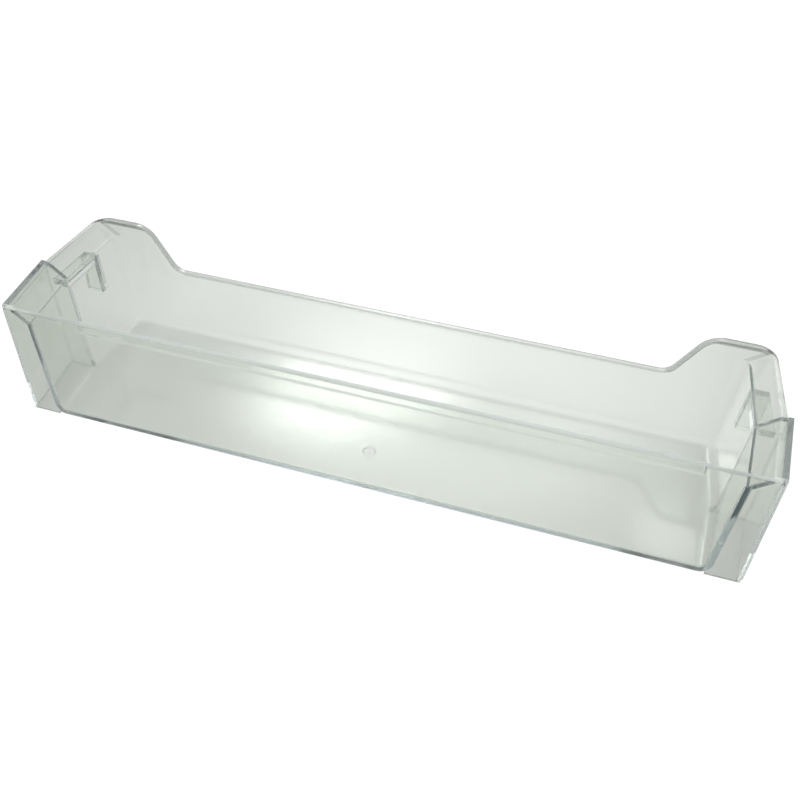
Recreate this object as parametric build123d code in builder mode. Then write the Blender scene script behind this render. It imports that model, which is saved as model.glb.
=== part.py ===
"""Fridge door shelf: a one-piece clear moulded trough that hangs between two door lugs.

Millimetres. X runs along the shelf, the front faces -Y, +Z is up.
The origin is the middle of the footprint, on the level of the underside.
"""
from math import hypot
import os

from build123d import *

os.makedirs("parts", exist_ok=True)

# overall sizes
depth = 113.5             # front face to the back edge of the lip
rim_height = 87.5         # underside to the level rim
wall = 2.5                # moulded skin of floor, walls, ledge and rim
rim_soft = 0.7            # small round on the edges of the rim

# basin: outer half lengths of the foot at its front, at the step and at its back
foot_front = 218.0
foot_step = 220.6
foot_rear = 215.1
fold_height = 77.0        # where the end wall turns out into the ledge
end_draft = 5.2           # outward lean of the end wall at the fold
foot_round = 7.5          # outer round along the foot of the ends and back
front_round = 1.6         # round along the foot of the front
corner_round = 9.0        # outer round of the upright back corners
bend_round = 40.0         # plan round where each end bends in at the step

# end ledge: slopes out from the fold to the flat rim
flare_run = 12.1
mouth_round = 3.5         # round of the back corners at the open top

# outer plan of the rim and skirt, as half lengths
skirt_front_half = 240.0  # just behind the front plate
step_half = 242.3         # at the step, the widest point
rear_half_at_step = 238.7
rear_half = 231.4         # at the back edge
rear_round = 13.0
step_depth = 53.4         # front face to the rear face of the step
skirt_draft = 2.3         # inward lean of the skirt and plate at their foot
skirt_skin = 3.0

# front plate
plate_half = 238.8        # at the top
plate_round = 3.5         # round of its top corners
plate_soft = 1.2          # round of its front edge, along the top and down the ends
notch_half = 215.8        # where the square foot of the plate begins
notch_rise = 8.0          # the plate starts this high between the square feet
bead_drop = 8.5           # thickened band below the top edge
bead_skin = 0.8
bead_half = 198.0

# back wall with its low middle, its ears and the lip along its top
back_height = 54.0
slope_foot_half = 173.0
slope_top_half = 192.4
slope_foot_round = 10.0
slope_top_round = 18.0
lip_out = 2.0
lip_tall = 2.5

# hanger hook under each ledge
hook_top = 72.7
hook_skin = 4.2           # thickness of the level rib that bears on the lug
hook_reach = 34.2         # step to the rear face of the hook
hook_post = 5.4           # thickness of the drop rib along the depth
hook_foot = 44.5          # lower end of the drop rib
hook_inset = 2.2          # rim edge to the outer face of the ribs

# gate mark of the moulding on the underside
gate_x = -1.7
gate_from_front = 32.3
gate_dish = 4.0           # radius of the shallow dish
gate_sink = 0.6
gate_nub = 1.3            # radius of the stub left in it

# derived positions
y_front = -depth / 2
y_plate = y_front + wall
y_back = depth / 2
y_back_face = y_back - lip_out
y_step = y_front + step_depth
y_in_step = y_step - wall / 2
y_hook = y_step + hook_reach
y_post = y_hook - hook_post
rim_under = rim_height - wall
flare_rise = rim_height - fold_height
lean = end_draft / fold_height
ledge_skin = wall * hypot(flare_run, flare_rise) / flare_rise
fold_drop = (ledge_skin - wall) / (flare_run / flare_rise - lean)
fold_under = fold_height - fold_drop
ledge_out = end_draft - wall + flare_run * (flare_rise - wall) / flare_rise + ledge_skin
rear_taper = (rear_half_at_step - rear_half) / (y_back - y_step)
skirt_edge = step_half - skirt_skin / 2


def rim_at(y):
    """Half length of the rim behind the step."""
    return rear_half_at_step - rear_taper * (y - y_step)


def rib_at(y):
    """Half length of the outer face of the hook."""
    return rim_at(y) - hook_inset


def basin_plan(height, shift, inset, corner):
    """Level outline of the basin: ends moved out by shift, front and back moved in by inset."""
    right = [
        (foot_front + shift, y_front + inset),
        (foot_step + shift, y_step),
        (foot_rear + shift, y_back_face - inset),
    ]
    left = [(-x, y) for x, y in reversed(right)]
    with BuildSketch(Plane.XY.offset(height)) as outline:
        Polygon(*right, *left, align=None)
        fillet(outline.vertices().group_by(Axis.Y)[1], bend_round)
        fillet(outline.vertices().group_by(Axis.Y)[-1], corner)
    return outline.sketch


# level outlines, foot to open top
foot_plan = basin_plan(0.0, 0.0, 0.0, corner_round)
fold_under_plan = basin_plan(fold_under, lean * fold_under, 0.0, corner_round)
rim_under_plan = basin_plan(rim_under, ledge_out, 0.0, mouth_round + wall)
floor_plan = basin_plan(wall, lean * wall - wall, wall, corner_round - wall)
fold_plan = basin_plan(fold_height, end_draft - wall, wall, corner_round - wall)
mouth_plan = basin_plan(rim_height, end_draft - wall + flare_run, wall, mouth_round)

# outside of the basin and of the sloping ledge
with BuildPart() as basin:
    loft((foot_plan, fold_under_plan), ruled=True)
    fillet(basin.faces().sort_by(Axis.Z)[0].edges().sort_by(Axis.Y)[1:], foot_round)
    fillet(basin.faces().sort_by(Axis.Z)[0].edges().sort_by(Axis.Y)[0], front_round)
with BuildPart() as ledge:
    loft((fold_under_plan, rim_under_plan), ruled=True)

# hollow of the basin and above the sloping ledge
with BuildPart() as hollow:
    loft((floor_plan, fold_plan), ruled=True)
    fillet(hollow.faces().sort_by(Axis.Z)[0].edges().sort_by(Axis.Y)[1:], foot_round - wall)
    fillet(hollow.faces().sort_by(Axis.Z)[0].edges().sort_by(Axis.Y)[0], front_round)
with BuildPart() as mouth:
    loft((fold_plan, mouth_plan), ruled=True)

# low middle of the back wall
with BuildPart() as dip:
    with BuildSketch(Plane.XZ.offset(-y_back)) as dip_outline:
        Polygon(
            (-slope_foot_half, back_height),
            (slope_foot_half, back_height),
            (slope_top_half, rim_height),
            (slope_top_half + slope_top_round, rim_height),
            (slope_top_half + slope_top_round, rim_height + wall),
            (-slope_top_half - slope_top_round, rim_height + wall),
            (-slope_top_half - slope_top_round, rim_height),
            (-slope_top_half, rim_height),
            align=None,
        )
        foot_points = [v for v in dip_outline.vertices() if v.Y < back_height + 1]
        fillet(foot_points, slope_foot_round)
        top_points = [v for v in dip_outline.vertices() if abs(abs(v.X) - slope_top_half) < 0.1]
        fillet(top_points, slope_top_round)
    extrude(amount=lip_out + 2 * wall)

# front plate, its foot raised between the notches to clear the round of the basin
with BuildPart() as plate:
    with BuildSketch(Plane.XZ.offset(-y_front)) as plate_outline:
        Polygon(
            (notch_half, 0),
            (plate_half - skirt_draft, 0),
            (plate_half, rim_height),
            (-plate_half, rim_height),
            (skirt_draft - plate_half, 0),
            (-notch_half, 0),
            (-notch_half, notch_rise),
            (notch_half, notch_rise),
            align=None,
        )
        fillet(plate_outline.vertices().group_by(Axis.Y)[-1], plate_round)
    extrude(amount=-wall)
    front_edges = plate.faces().sort_by(Axis.Y)[0].edges()
    fillet(front_edges.sort_by(Axis.Z)[-1], plate_soft)

# right-hand end below the ledge: skirt, step wall and hanger hook
with BuildPart() as bracket:
    with BuildSketch(Plane.XY):
        Polygon(
            (skirt_front_half - skirt_draft - skirt_skin, y_plate),
            (skirt_front_half - skirt_draft, y_plate),
            (step_half - skirt_draft, y_step),
            (step_half - skirt_draft - skirt_skin, y_step),
            align=None,
        )
    with BuildSketch(Plane.XY.offset(rim_height)):
        Polygon(
            (skirt_front_half - skirt_skin, y_plate),
            (skirt_front_half, y_plate),
            (step_half, y_step),
            (step_half - skirt_skin, y_step),
            align=None,
        )
    loft(ruled=True)
    with BuildSketch(Plane.XZ.offset(-y_step)):
        Polygon(
            (notch_half, 0),
            (skirt_edge - skirt_draft, 0),
            (skirt_edge, rim_height - wall / 2),
            (notch_half, rim_height - wall / 2),
            align=None,
        )
    extrude(amount=wall)
    with BuildSketch(Plane.XY.offset(hook_top)):
        Polygon(
            (notch_half, y_in_step),
            (rib_at(y_in_step), y_in_step),
            (rib_at(y_hook), y_hook),
            (notch_half, y_hook),
            align=None,
        )
    extrude(amount=-hook_skin)
    with BuildSketch(Plane.XY.offset(hook_top)):
        Polygon(
            (notch_half, y_post),
            (rib_at(y_post), y_post),
            (rib_at(y_hook), y_hook),
            (notch_half, y_hook),
            align=None,
        )
    extrude(amount=hook_foot - hook_top)

with BuildPart() as door_shelf:
    add(basin.part)
    add(ledge.part)
    add(bracket.part)
    mirror(bracket.part, about=Plane.YZ)
    # flat rim of the ends and ears
    with BuildSketch(Plane.XY.offset(rim_under)) as rim_plan:
        Polygon(
            (skirt_front_half - skirt_skin / 2, y_plate),
            (skirt_edge, y_in_step),
            (rim_at(y_in_step), y_in_step),
            (rear_half, y_back),
            (-rear_half, y_back),
            (-rim_at(y_in_step), y_in_step),
            (-skirt_edge, y_in_step),
            (skirt_skin / 2 - skirt_front_half, y_plate),
            align=None,
        )
        fillet(rim_plan.vertices().group_by(Axis.Y)[-1], rear_round)
    extrude(amount=wall)
    add(plate.part)
    # lip along the top of the back wall
    with BuildSketch(Plane.XZ.offset(-y_back)):
        add(dip_outline.sketch_local)
        offset(amount=lip_tall, kind=Kind.ARC)
        Rectangle(2 * slope_top_half + slope_top_round, 2 * rim_height, mode=Mode.INTERSECT)
    extrude(amount=lip_out + wall)
    add(hollow.part, mode=Mode.SUBTRACT)
    add(mouth.part, mode=Mode.SUBTRACT)
    add(dip.part, mode=Mode.SUBTRACT)
    # thickened band inside the top of the front plate
    with BuildSketch(Plane.YZ):
        Polygon(
            (y_plate - wall / 2, rim_height),
            (y_plate + bead_skin, rim_height),
            (y_plate + bead_skin, rim_height - bead_drop + bead_skin),
            (y_plate, rim_height - bead_drop),
            (y_plate - wall / 2, rim_height - bead_drop),
            align=None,
        )
    extrude(amount=bead_half, both=True)
    # gate mark: a shallow dish with a stub that stays inside it
    with BuildSketch(Plane((gate_x, y_front + gate_from_front, 0))):
        Circle(gate_dish)
    extrude(amount=gate_sink, mode=Mode.SUBTRACT)
    with BuildSketch(Plane((gate_x, y_front + gate_from_front, gate_sink))):
        Circle(gate_nub)
    extrude(amount=-gate_sink / 2)
    # softened edges of the level rim, first round the open top and then round the outside
    rim_edges = door_shelf.faces().filter_by(Axis.Z).sort_by(Axis.Z)[-1].edges()
    fillet([edge for edge in rim_edges if mouth_plan.distance_to(edge.center()) < rim_soft / 2], rim_soft)
    rim_edges = door_shelf.faces().filter_by(Axis.Z).sort_by(Axis.Z)[-1].edges()
    fillet([edge for edge in rim_edges if mouth_plan.distance_to(edge.center()) > rim_soft / 2], rim_soft)

door_shelf.part.label = "door_shelf"
export_step(door_shelf.part, "parts/door_shelf.step")
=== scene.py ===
"""Looks of a fridge door shelf: one clear moulded trough on a plain pale floor.

Metres. X runs along the shelf, the front faces -Y and +Z is up.
"""
from math import radians

import bpy
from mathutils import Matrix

bl_info = {
    "name": "Fridge Door Shelf",
    "version": (1, 0, 0),
    "blender": (4, 5, 0),
    "location": "3D View > Sidebar > Door Shelf",
    "description": "Dresses a clear moulded door shelf and sets up its studio",
    "category": "Object",
}

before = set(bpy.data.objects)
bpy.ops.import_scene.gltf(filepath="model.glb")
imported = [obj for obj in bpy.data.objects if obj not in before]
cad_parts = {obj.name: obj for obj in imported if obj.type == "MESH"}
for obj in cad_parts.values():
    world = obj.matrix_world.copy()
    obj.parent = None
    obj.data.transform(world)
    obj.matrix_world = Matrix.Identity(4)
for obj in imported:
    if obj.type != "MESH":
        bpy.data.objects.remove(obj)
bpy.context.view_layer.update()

# colours that no panel needs
WHITE = (1.0, 1.0, 1.0, 1.0)
# painted highlight: pale matt colour of the top edge of the front plate
PAINTED_HIGHLIGHT_PALE = (0.84, 0.88, 0.84, 1.0)
# painted shade: grey on the sides of the rim and on the top of the back lip
PAINTED_SHADE_GREY = (0.30, 0.33, 0.31, 1.0)

# patterns of the plastic: features to the metre, and what they weigh
CLOUD_GRAIN = 14.0
PATCH_GRAIN = 22.0
RUB_GRAIN = (12.0, 160.0, 160.0)
RING_GRAIN = 9.0
SWELL_GRAIN = 38.0
RING_SHARE = 0.3
WEAR_GAIN = 2.0
FROST_WHITE = 2.0
FROST_ROUGH = 0.2
STREAK_LEAST = 0.7
STREAK_RANGE = 0.6
PER_MILLIMETRE = 1000.0

# upward parts of the normals that part the sides of the rim and the top of the lip from other faces
SIDE_BELOW = 0.7
TOP_ABOVE = 0.3

# floor, lamps and camera
STRAIGHT_WHITE = 0.95
POOL_GAIN = 2.36
SHEEN_ROUGH = 0.2
CLOTH_GAIN = 4.0
SENSOR_WIDTH = 36
NEAR_CLIP = 0.01
SOFTBOXES = (
    # name, place, size, turn and the setting of its brightness
    ("wide_softbox", (-0.18, 1.1, 1.0), (1.3, 1.2), 0.0, "wide_glow"),
    ("bright_softbox", (-0.36, 1.035, 0.98), (0.7, 0.42), radians(37), "near_glow"),
    ("small_softbox", (0.315, 0.815, 0.96), (0.2, 0.2), 0.0, "spot_glow"),
)


class Term:
    """A shader value that can stand in a Python sum: each operator adds one Math node."""

    def __init__(self, shader, socket):
        self.shader = shader
        self.socket = socket

    def combine(self, operation, first, second):
        node = self.shader.add("ShaderNodeMath", {"operation": operation}, {0: first, 1: second})
        return Term(self.shader, node.outputs[0])

    def __add__(self, other):
        return self.combine("ADD", self, other)

    __radd__ = __add__

    def __sub__(self, other):
        return self.combine("SUBTRACT", self, other)

    def __rsub__(self, other):
        return self.combine("SUBTRACT", other, self)

    def __mul__(self, other):
        return self.combine("MULTIPLY", self, other)

    __rmul__ = __mul__

    def __gt__(self, other):
        return self.combine("GREATER_THAN", self, other)

    def __lt__(self, other):
        return self.combine("LESS_THAN", self, other)


class Shader:
    """The node tree of one material or world, filled from Python."""

    def __init__(self, owner):
        owner.use_nodes = True
        self.tree = owner.node_tree
        self.tree.nodes.clear()

    def add(self, kind, settings=None, inputs=None):
        """Adds a node, sets its settings first and then gives its sockets their values or links."""
        node = self.tree.nodes.new(kind)
        for name, value in (settings or {}).items():
            setattr(node, name, value)
        for name, value in (inputs or {}).items():
            if isinstance(value, Term):
                value = value.socket
            if isinstance(value, bpy.types.NodeSocket):
                self.tree.links.new(value, node.inputs[name])
            else:
                node.inputs[name].default_value = value
        return node

    def term(self, node, output=0):
        return Term(self, node.outputs[output])


class PlasticSettings(bpy.types.PropertyGroup):
    """The clear plastic of the shelf."""

    clear: bpy.props.FloatVectorProperty(
        name="Clear", description="Colour of the plastic where it is clearest",
        subtype="COLOR", size=3, min=0, max=1, default=(0.910, 0.936, 0.900))
    cloudy: bpy.props.FloatVectorProperty(
        name="Cloudy", description="Colour of the plastic where it is faintly clouded",
        subtype="COLOR", size=3, min=0, max=1, default=(0.888, 0.915, 0.878))
    tint: bpy.props.FloatVectorProperty(
        name="Edge Tint", description="Colour that is left after a way of one millimetre through the plastic",
        subtype="COLOR", size=3, min=0, max=1, default=(0.9965, 0.9972, 0.9974))
    ior: bpy.props.FloatProperty(
        name="Refraction", description="Index of refraction of clear polystyrene", default=1.57, min=1)
    polish: bpy.props.FloatProperty(
        name="Polish", description="Roughness where the mould was polished", default=0.05, min=0, max=1)
    haze: bpy.props.FloatProperty(
        name="Haze", description="Extra roughness in the handled patches", default=0.04, min=0, max=1)
    ripple: bpy.props.FloatProperty(
        name="Ripple", description="Height of the faint flow ripples of the moulding",
        default=0.00003, min=0, subtype="DISTANCE", unit="LENGTH", precision=6)
    edge_round: bpy.props.FloatProperty(
        name="Edge Round", description="Radius that the edges of the moulding look rounded with",
        default=0.002, min=0, subtype="DISTANCE", unit="LENGTH", precision=5)
    gate: bpy.props.FloatVectorProperty(
        name="Gate", description="Point of the floor that the plastic flowed from",
        subtype="TRANSLATION", size=3, default=(-0.0017, -0.0245, 0.0))
    blush: bpy.props.FloatProperty(
        name="Blush", description="Radius of the frosted spot around the gate",
        default=0.0045, min=0.001, subtype="DISTANCE", unit="LENGTH", precision=5)
    # painted highlight on the top edge of the front plate: how strong it is, and where it begins and ends
    painted_highlight: bpy.props.FloatProperty(
        name="Edge Highlight", description="How matt the top edge of the front plate is rubbed",
        default=0.52, min=0, max=1, subtype="FACTOR")
    highlight_above: bpy.props.FloatProperty(
        name="Highlight Above", description="Height that the rubbed edge begins at",
        default=0.0868, subtype="DISTANCE", unit="LENGTH", precision=5)
    front_band_before: bpy.props.FloatProperty(
        name="Front Band Before", description="Depth that the rubbed edge ends at",
        default=-0.053, subtype="DISTANCE", unit="LENGTH", precision=5)
    # painted shade on the sides of the rim and on the top of the back lip
    shade: bpy.props.FloatProperty(
        name="Shaded Edges", description="How much fine grime sits on the edges of the rim",
        default=0.5, min=0, max=1, subtype="FACTOR")
    lip_shade: bpy.props.FloatProperty(
        name="Shaded Lip", description="How much fine grime sits on the top of the back lip",
        default=0.24, min=0, max=1, subtype="FACTOR")
    rim_under: bpy.props.FloatProperty(
        name="Rim Underside", description="Height that the edges of the rim begin at",
        default=0.085, subtype="DISTANCE", unit="LENGTH", precision=5)
    lip_front: bpy.props.FloatProperty(
        name="Lip Front", description="Depth that the top of the back wall begins at",
        default=0.0522, subtype="DISTANCE", unit="LENGTH", precision=5)
    lip_above: bpy.props.FloatProperty(
        name="Lip Above", description="Height that the top of the back wall begins at",
        default=0.053, subtype="DISTANCE", unit="LENGTH", precision=5)


class StageSettings(bpy.types.PropertyGroup):
    """Floor, lamps and camera."""

    floor_size: bpy.props.FloatProperty(
        name="Floor Size", description="Side of the square floor",
        default=12.0, min=1, subtype="DISTANCE", unit="LENGTH")
    floor_drop: bpy.props.FloatProperty(
        name="Floor Drop", description="Gap between the underside and the floor",
        default=0.0005, min=0, subtype="DISTANCE", unit="LENGTH", precision=5)
    floor_colour: bpy.props.FloatVectorProperty(
        name="Floor Colour", description="Pale colour of the floor",
        subtype="COLOR", size=3, min=0, max=1, default=(0.540, 0.555, 0.536))
    floor_sheen: bpy.props.FloatProperty(
        name="Floor Sheen", description="Share of the light that the floor mirrors",
        default=0.1, min=0, max=1, subtype="FACTOR")
    through: bpy.props.FloatProperty(
        name="White Through Plastic",
        description="Share of the white background in rays that the plastic bends or mirrors",
        default=0.52, min=0, max=1, subtype="FACTOR")
    # painted pool of light on the floor, seen through the plastic
    pool: bpy.props.FloatProperty(
        name="Light Pool", description="How far the light on the floor reaches to either side",
        default=0.33, min=0.01, subtype="DISTANCE", unit="LENGTH")
    fill: bpy.props.FloatProperty(
        name="Fill", description="Brightness of the surroundings as a light", default=0.9, min=0)
    sky: bpy.props.FloatProperty(
        name="Mirrored Surroundings",
        description="Brightness of the surroundings in rays that the plastic bends or mirrors", default=0.75, min=0)
    wide_glow: bpy.props.FloatProperty(
        name="Wide Softbox", description="Brightness of the wide softbox", default=1.5, min=0)
    near_glow: bpy.props.FloatProperty(
        name="Bright Softbox", description="Brightness of the bright softbox", default=3.8, min=0)
    spot_glow: bpy.props.FloatProperty(
        name="Small Softbox", description="Brightness of the small softbox", default=1.7, min=0)
    bounces: bpy.props.IntProperty(
        name="Light Bounces", description="How often light may turn inside the plastic", default=200, min=4)
    camera_place: bpy.props.FloatVectorProperty(
        name="Camera Place", description="Where the camera stands",
        subtype="TRANSLATION", size=3, default=(0.1358, -0.45917, 0.48343))
    camera_turn: bpy.props.FloatVectorProperty(
        name="Camera Turn", description="Which way the camera looks",
        subtype="EULER", size=3, default=(radians(47.795), 0.0, radians(18.272)))
    lens: bpy.props.FloatProperty(
        name="Lens", description="Focal length on a 36 mm sensor", default=44.93, min=1, subtype="DISTANCE_CAMERA")
    shift: bpy.props.FloatVectorProperty(
        name="Shift", description="Sideways and upward shift of the frame", size=2, default=(0.0485, -0.0331))


def ray_kinds(shader):
    """Two terms: 1 for rays that come straight from the camera, 1 for those that the plastic bends or mirrors."""
    path = shader.add("ShaderNodeLightPath")
    bent = shader.term(path, "Is Glossy Ray") + shader.term(path, "Is Transmission Ray")
    bent = shader.term(shader.add("ShaderNodeClamp", None, {"Value": bent}))
    return shader.term(path, "Is Camera Ray"), bent


def around(shader, place, middle, reach):
    """A term that falls from 1 at a point to 0 at a reach around it, or runs on along an axis with reach 0."""
    scale = [1 / length if length else 0 for length in reach]
    near = shader.add("ShaderNodeMapping", None, {
        "Vector": place, "Location": [-value * factor for value, factor in zip(middle, scale)], "Scale": scale})
    ball = shader.add("ShaderNodeTexGradient", {"gradient_type": "SPHERICAL"}, {"Vector": near.outputs[0]})
    return shader.term(ball, 1)


def clear_plastic(settings):
    """Polished clear plastic that darkens with the way that light takes through it."""
    material = bpy.data.materials.new("clear_plastic_moulding")
    shader = Shader(material)
    place = shader.add("ShaderNodeTexCoord").outputs["Object"]
    frost = around(shader, place, settings.gate, (settings.blush,) * 3)

    # faintly clouded all over and pale on the gate
    clouds = shader.add("ShaderNodeTexNoise", None, {"Vector": place, "Scale": CLOUD_GRAIN, "Detail": 3.0})
    whole = shader.add("ShaderNodeMix", {"data_type": "RGBA"}, {
        0: clouds.outputs[0], 6: (*settings.clear, 1.0), 7: (*settings.cloudy, 1.0)})
    colour = shader.add("ShaderNodeMix", {"data_type": "RGBA"}, {
        0: frost * FROST_WHITE, 6: whole.outputs[2], 7: WHITE})

    # handling leaves duller patches and short rubs along the shelf
    patches = shader.add("ShaderNodeTexNoise", None, {"Vector": place, "Scale": PATCH_GRAIN, "Detail": 4.0})
    along = shader.add("ShaderNodeMapping", None, {"Vector": place, "Scale": RUB_GRAIN})
    rubs = shader.add("ShaderNodeTexNoise", None, {"Vector": along.outputs[0], "Scale": 1.0, "Detail": 2.0})
    wear = shader.term(patches) * shader.term(rubs) * WEAR_GAIN
    roughness = settings.polish + settings.haze * wear + frost * FROST_ROUGH

    # the plastic flowed outwards from the gate and froze in faint ripples
    from_gate = shader.add("ShaderNodeMapping", None, {
        "Vector": place, "Location": tuple(-value for value in settings.gate)})
    rings = shader.add("ShaderNodeTexWave", {"wave_type": "RINGS", "rings_direction": "SPHERICAL"}, {
        "Vector": from_gate.outputs[0], "Scale": RING_GRAIN,
        "Distortion": 6.0, "Detail": 2.0, "Detail Scale": 3.0})
    swell = shader.add("ShaderNodeTexNoise", None, {"Vector": place, "Scale": SWELL_GRAIN, "Detail": 1.0})
    height = shader.term(rings) * RING_SHARE + shader.term(swell)

    # every edge of the moulding is a little rounded
    edges = shader.add("ShaderNodeBevel", {"samples": 6}, {"Radius": settings.edge_round})
    bump = shader.add("ShaderNodeBump", None, {
        "Strength": 1.0, "Distance": settings.ripple, "Height": height, "Normal": edges.outputs[0]})

    surface = shader.add("ShaderNodeBsdfPrincipled", None, {
        "Base Color": colour.outputs[2],
        "Roughness": roughness,
        "IOR": settings.ior,
        "Transmission Weight": 1.0,
        "Normal": bump.outputs[0],
    })

    # a pale matt band on the top edge of the front plate is a painted highlight, and grey on the sides of the rim
    # and on the top of the back lip is painted shade
    axes = shader.add("ShaderNodeSeparateXYZ", None, {"Vector": place})
    facing = shader.add("ShaderNodeSeparateXYZ", None, {
        "Vector": shader.add("ShaderNodeNewGeometry").outputs["True Normal"]})
    back, high, upward = shader.term(axes, "Y"), shader.term(axes, "Z"), shader.term(facing, "Z")
    # mask of the painted highlight band on the top edge of the front plate
    highlighted = (high > settings.highlight_above) * (back < settings.front_band_before)
    # mask of the painted shade on the sides of the rim
    rim_sides = (high > settings.rim_under) * (back > settings.front_band_before) * (upward < SIDE_BELOW)
    on_lip = (back > settings.lip_front) * (high > settings.lip_above) * (high < settings.highlight_above)
    # mask of the painted shade on the top of the back lip
    lip_top = on_lip * (upward > TOP_ABOVE)
    # pale colour for the painted highlight, grey for the painted shade
    painted_light_colour = shader.add("ShaderNodeMix", {"data_type": "RGBA"}, {
        0: rim_sides + lip_top, 6: PAINTED_HIGHLIGHT_PALE, 7: PAINTED_SHADE_GREY})
    matt = shader.add("ShaderNodeBsdfPrincipled", None, {
        "Base Color": painted_light_colour.outputs[2], "Roughness": 1.0, "Specular IOR Level": 0.0})
    # how much painted highlight and painted shade cover the plastic
    painted_light_cover = highlighted * settings.painted_highlight + rim_sides * settings.shade + lip_top * settings.lip_shade
    streaks = STREAK_LEAST + STREAK_RANGE * shader.term(rubs)
    skin = shader.add("ShaderNodeMixShader", None, {
        0: painted_light_cover * streaks, 1: surface.outputs[0], 2: matt.outputs[0]})
    depth = shader.add("ShaderNodeVolumeAbsorption", None, {
        "Color": (*settings.tint, 1.0), "Density": PER_MILLIMETRE})
    shader.add("ShaderNodeOutputMaterial", None, {"Surface": skin.outputs[0], "Volume": depth.outputs[0]})
    return material


def floor_paint(settings):
    """Pale satin paint: nearly white from the camera, and through the plastic a painted pool of light that greys
    towards the ends.
    """
    material = bpy.data.materials.new("pale_floor_paint")
    shader = Shader(material)
    matt = shader.add("ShaderNodeBsdfDiffuse", None, {"Color": (*settings.floor_colour, 1.0)})
    glow = shader.add("ShaderNodeEmission", None, {"Color": WHITE, "Strength": 1.0})
    straight, bent = ray_kinds(shader)
    place = shader.add("ShaderNodeTexCoord").outputs["Object"]
    # painted pool of light: through the plastic the floor's white fades towards the ends
    pool = around(shader, place, (0, 0, 0), (settings.pool, 0, 0)) * POOL_GAIN
    painted_light_pool = shader.term(shader.add("ShaderNodeClamp", None, {"Value": pool}))
    ground = shader.add("ShaderNodeMixShader", None, {
        0: straight * STRAIGHT_WHITE + bent * painted_light_pool * settings.through, 1: matt.outputs[0], 2: glow.outputs[0]})
    sheen = shader.add("ShaderNodeBsdfAnisotropic", None, {
        "Color": (settings.floor_sheen,) * 3 + (1.0,), "Roughness": SHEEN_ROUGH})
    both = shader.add("ShaderNodeAddShader", None, {0: ground.outputs[0], 1: sheen.outputs[0]})
    shader.add("ShaderNodeOutputMaterial", None, {"Surface": both.outputs[0]})
    return material


def softbox(name, place, size, turn, brightness):
    """A level lamp cloth with an even middle that fades out towards its edge."""
    bpy.ops.object.select_all(action="DESELECT")
    bpy.ops.mesh.primitive_plane_add(size=2, location=place, rotation=(0, 0, turn))
    cloth = bpy.context.active_object
    cloth.name = name
    cloth.scale = (size[0] / 2, size[1] / 2, 1)
    cloth.visible_camera = False
    material = bpy.data.materials.new(name + "_cloth")
    shader = Shader(material)
    on_cloth = shader.add("ShaderNodeTexCoord").outputs["Object"]
    fade = shader.add("ShaderNodeTexGradient", {"gradient_type": "QUADRATIC_SPHERE"}, {"Vector": on_cloth})
    flat = shader.add("ShaderNodeClamp", None, {"Value": shader.term(fade, 1) * CLOTH_GAIN})
    glow = shader.add("ShaderNodeEmission", None, {"Color": flat.outputs[0], "Strength": brightness})
    clear = shader.add("ShaderNodeBsdfTransparent")
    both = shader.add("ShaderNodeAddShader", None, {0: glow.outputs[0], 1: clear.outputs[0]})
    shader.add("ShaderNodeOutputMaterial", None, {"Surface": both.outputs[0]})
    cloth.data.materials.append(material)


class DOORSHELF_OT_shelf(bpy.types.Operator):
    """Give the moulded shelf its clear plastic"""

    bl_idname = "doorshelf.shelf"
    bl_label = "Dress Shelf"

    def execute(self, context):
        plastic = clear_plastic(context.scene.shelf_plastic)
        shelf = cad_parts["door_shelf"]
        for index in range(len(shelf.material_slots)):
            shelf.material_slots[index].material = plastic
        return {"FINISHED"}


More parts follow.
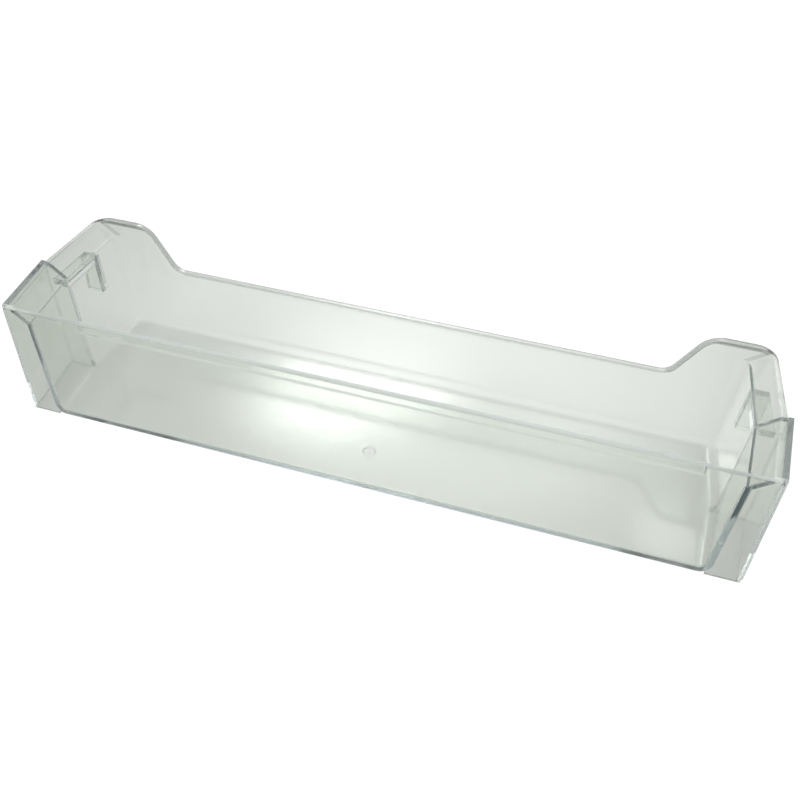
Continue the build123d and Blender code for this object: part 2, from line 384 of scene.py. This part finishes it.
class DOORSHELF_OT_stage(bpy.types.Operator):
    """Add the floor, the surroundings, the lamps and the camera"""

    bl_idname = "doorshelf.stage"
    bl_label = "Set Stage"

    def execute(self, context):
        scene = context.scene
        settings = scene.shelf_stage
        bpy.ops.object.select_all(action="DESELECT")
        bpy.ops.mesh.primitive_plane_add(size=settings.floor_size, location=(0, 0, 0))
        floor = context.active_object
        floor.name = "pale_floor"
        bpy.ops.transform.translate(value=(0, 0, -settings.floor_drop))
        bpy.ops.object.transform_apply(location=True)
        floor.data.materials.append(floor_paint(settings))

        scene.world = bpy.data.worlds.new("pale_surroundings")
        shader = Shader(scene.world)
        straight, bent = ray_kinds(shader)
        strength = straight + bent * settings.sky + (1 - straight - bent) * settings.fill
        sky = shader.add("ShaderNodeBackground", None, {"Color": WHITE, "Strength": strength})
        shader.add("ShaderNodeOutputWorld", None, {"Surface": sky.outputs[0]})

        for name, place, size, turn, brightness in SOFTBOXES:
            softbox(name, place, size, turn, getattr(settings, brightness))

        bpy.ops.object.select_all(action="DESELECT")
        bpy.ops.object.camera_add(location=settings.camera_place, rotation=settings.camera_turn)
        camera = context.active_object
        camera.data.lens = settings.lens
        camera.data.sensor_width = SENSOR_WIDTH
        camera.data.shift_x, camera.data.shift_y = settings.shift
        camera.data.clip_start = NEAR_CLIP
        scene.camera = camera
        scene.view_settings.view_transform = "Standard"
        scene.cycles.max_bounces = settings.bounces
        scene.cycles.glossy_bounces = settings.bounces
        scene.cycles.transmission_bounces = settings.bounces
        return {"FINISHED"}


class DOORSHELF_PT_panel(bpy.types.Panel):
    """Sizes, colours and steps of the shelf"""

    bl_idname = "DOORSHELF_PT_panel"
    bl_label = "Door Shelf"
    bl_space_type = "VIEW_3D"
    bl_region_type = "UI"
    bl_category = "Door Shelf"

    def draw(self, context):
        for title, settings, step in (
            ("Clear Plastic", context.scene.shelf_plastic, DOORSHELF_OT_shelf.bl_idname),
            ("Stage", context.scene.shelf_stage, DOORSHELF_OT_stage.bl_idname),
        ):
            box = self.layout.box()
            box.label(text=title)
            for name in settings.__annotations__:
                box.prop(settings, name)
            box.operator(step)


classes = (PlasticSettings, StageSettings, DOORSHELF_OT_shelf, DOORSHELF_OT_stage, DOORSHELF_PT_panel)


def register():
    for item in classes:
        bpy.utils.register_class(item)
    bpy.types.Scene.shelf_plastic = bpy.props.PointerProperty(type=PlasticSettings)
    bpy.types.Scene.shelf_stage = bpy.props.PointerProperty(type=StageSettings)


def unregister():
    del bpy.types.Scene.shelf_stage
    del bpy.types.Scene.shelf_plastic
    for item in reversed(classes):
        bpy.utils.unregister_class(item)


def main():
    register()
    bpy.ops.doorshelf.shelf()
    bpy.ops.doorshelf.stage()


if __name__ == "__main__":
    main()
